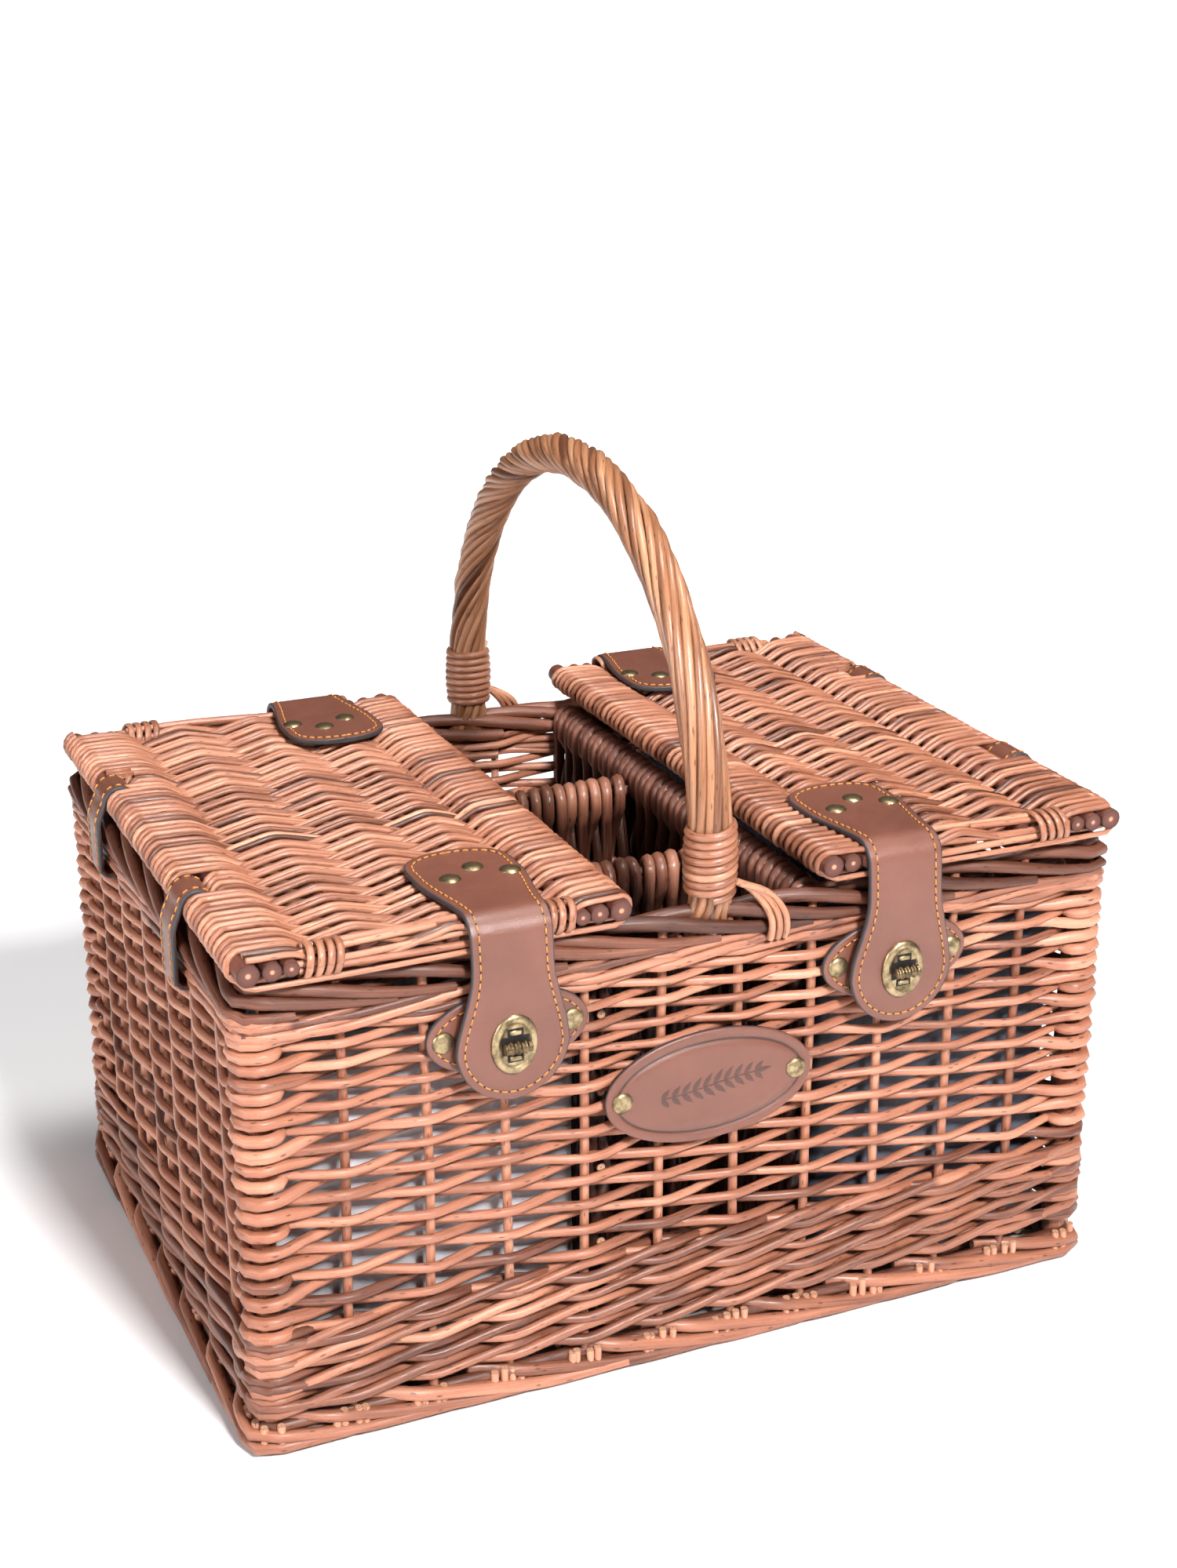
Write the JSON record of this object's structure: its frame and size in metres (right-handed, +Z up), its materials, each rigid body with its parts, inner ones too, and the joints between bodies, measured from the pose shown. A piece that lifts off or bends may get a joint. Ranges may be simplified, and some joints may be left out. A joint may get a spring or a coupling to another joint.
{
  "type": "picnic hamper",
  "caption": "Oblong woven willow basket with two hinged lids, a fixed hoop handle, leather straps with turn locks and divided bottle cells.",
  "frame": {"origin": "middle of the foot, on the ground", "axes": "+Z up, +X along the long side, the front faces -Y"},
  "size_m": [0.4722, 0.3632, 0.4334],
  "materials": {
    "willow_weave": "peeled buff willow rods, satin, reddish brown",
    "willow_rim": "thick willow rods, satin, darker brown",
    "willow_handle": "long willow rods roped together, satin",
    "willow_skein": "thin split willow binding, glossy",
    "willow_stick": "round willow sticks with dark cut ends",
    "leather": "smooth brown leather, dark painted edges, yellow stitching",
    "antique_brass": "antique brass, domed and polished",
    "grey_liner": "smooth silver-grey lining cloth",
    "dark_liner": "dark blue-grey lining cloth"
  },
  "bodies": {
    "basket": {"base_panel": "willow_weave", "foot_border": "willow_rim", "top_border": "willow_rim", "front_wall": "willow_weave", "rear_wall": "willow_weave", "left_wall": "willow_weave", "right_wall": "willow_weave", "corner_posts": "willow_stick", "wall_stakes": "willow_stick", "left_partition": "willow_weave", "right_partition": "willow_weave", "front_bottle_divider": "willow_weave", "rear_bottle_divider": "willow_weave", "partition_rods": "willow_stick", "left_liner": "grey_liner", "right_liner": "dark_liner", "handle_roping": "willow_handle", "handle_core": "willow_stick", "front_handle_binding": "willow_skein", "rear_handle_binding": "willow_skein", "front_left_catch_leather": "leather", "front_right_catch_leather": "leather", "rear_left_catch_leather": "leather", "rear_right_catch_leather": "leather", "lock_base_plates": "antique_brass", "catch_studs": "antique_brass", "label_plate": "leather", "label_studs": "antique_brass", "left_hinge_loops": "leather", "right_hinge_loops": "leather"},
    "left_lid": {"left_lid_weave": "willow_weave", "left_lid_hinge_stick": "willow_stick", "left_lid_inner_stick": "willow_stick", "left_lid_ribs": "willow_stick", "front_left_strap_anchor": "leather", "rear_left_strap_anchor": "leather", "left_strap_studs": "antique_brass"},
    "right_lid": {"right_lid_weave": "willow_weave", "right_lid_hinge_stick": "willow_stick", "right_lid_inner_stick": "willow_stick", "right_lid_ribs": "willow_stick", "front_right_strap_anchor": "leather", "rear_right_strap_anchor": "leather", "right_strap_studs": "antique_brass"},
    "front_left_strap": {"front_left_strap_flap": "leather", "front_left_lock_back_plate": "antique_brass", "front_left_lock_eyelet": "antique_brass"},
    "front_left_button": {"front_left_turn_button": "antique_brass"},
    "rear_left_strap": {"rear_left_strap_flap": "leather", "rear_left_lock_back_plate": "antique_brass", "rear_left_lock_eyelet": "antique_brass"},
    "rear_left_button": {"rear_left_turn_button": "antique_brass"},
    "front_right_strap": {"front_right_strap_flap": "leather", "front_right_lock_back_plate": "antique_brass", "front_right_lock_eyelet": "antique_brass"},
    "front_right_button": {"front_right_turn_button": "antique_brass"},
    "rear_right_strap": {"rear_right_strap_flap": "leather", "rear_right_lock_back_plate": "antique_brass", "rear_right_lock_eyelet": "antique_brass"},
    "rear_right_button": {"rear_right_turn_button": "antique_brass"}
  },
  "joints": [
    {"name": "left_lid_hinge", "type": "hinge", "parent": "basket", "child": "left_lid", "pos_m": [-0.223, 0, 0.2508], "axis": [0, -1, 0], "range_deg": [0, 160]},
    {"name": "right_lid_hinge", "type": "hinge", "parent": "basket", "child": "right_lid", "pos_m": [0.223, 0, 0.2543], "axis": [0, 1, 0], "range_deg": [0, 160]},
    {"name": "front_left_strap_lift", "type": "hinge", "parent": "left_lid", "child": "front_left_strap", "pos_m": [-0.102, -0.1718, 0.2508], "axis": [-1, 0, 0], "range_deg": [0, 110]},
    {"name": "front_left_button_turn", "type": "hinge", "parent": "front_left_strap", "child": "front_left_button", "pos_m": [-0.102, -0.1786, 0.197], "axis": [0, -1, 0], "range_deg": [0, 90]},
    {"name": "rear_left_strap_lift", "type": "hinge", "parent": "left_lid", "child": "rear_left_strap", "pos_m": [-0.093, 0.1718, 0.2508], "axis": [1, 0, 0], "range_deg": [0, 110]},
    {"name": "rear_left_button_turn", "type": "hinge", "parent": "rear_left_strap", "child": "rear_left_button", "pos_m": [-0.093, 0.1786, 0.197], "axis": [0, 1, 0], "range_deg": [0, 90]},
    {"name": "front_right_strap_lift", "type": "hinge", "parent": "right_lid", "child": "front_right_strap", "pos_m": [0.102, -0.1718, 0.2543], "axis": [-1, 0, 0], "range_deg": [0, 110]},
    {"name": "front_right_button_turn", "type": "hinge", "parent": "front_right_strap", "child": "front_right_button", "pos_m": [0.102, -0.1786, 0.197], "axis": [0, -1, 0], "range_deg": [0, 90]},
    {"name": "rear_right_strap_lift", "type": "hinge", "parent": "right_lid", "child": "rear_right_strap", "pos_m": [0.111, 0.1718, 0.2543], "axis": [1, 0, 0], "range_deg": [0, 110]},
    {"name": "rear_right_button_turn", "type": "hinge", "parent": "rear_right_strap", "child": "rear_right_button", "pos_m": [0.111, 0.1786, 0.197], "axis": [0, 1, 0], "range_deg": [0, 90]}
  ]
}
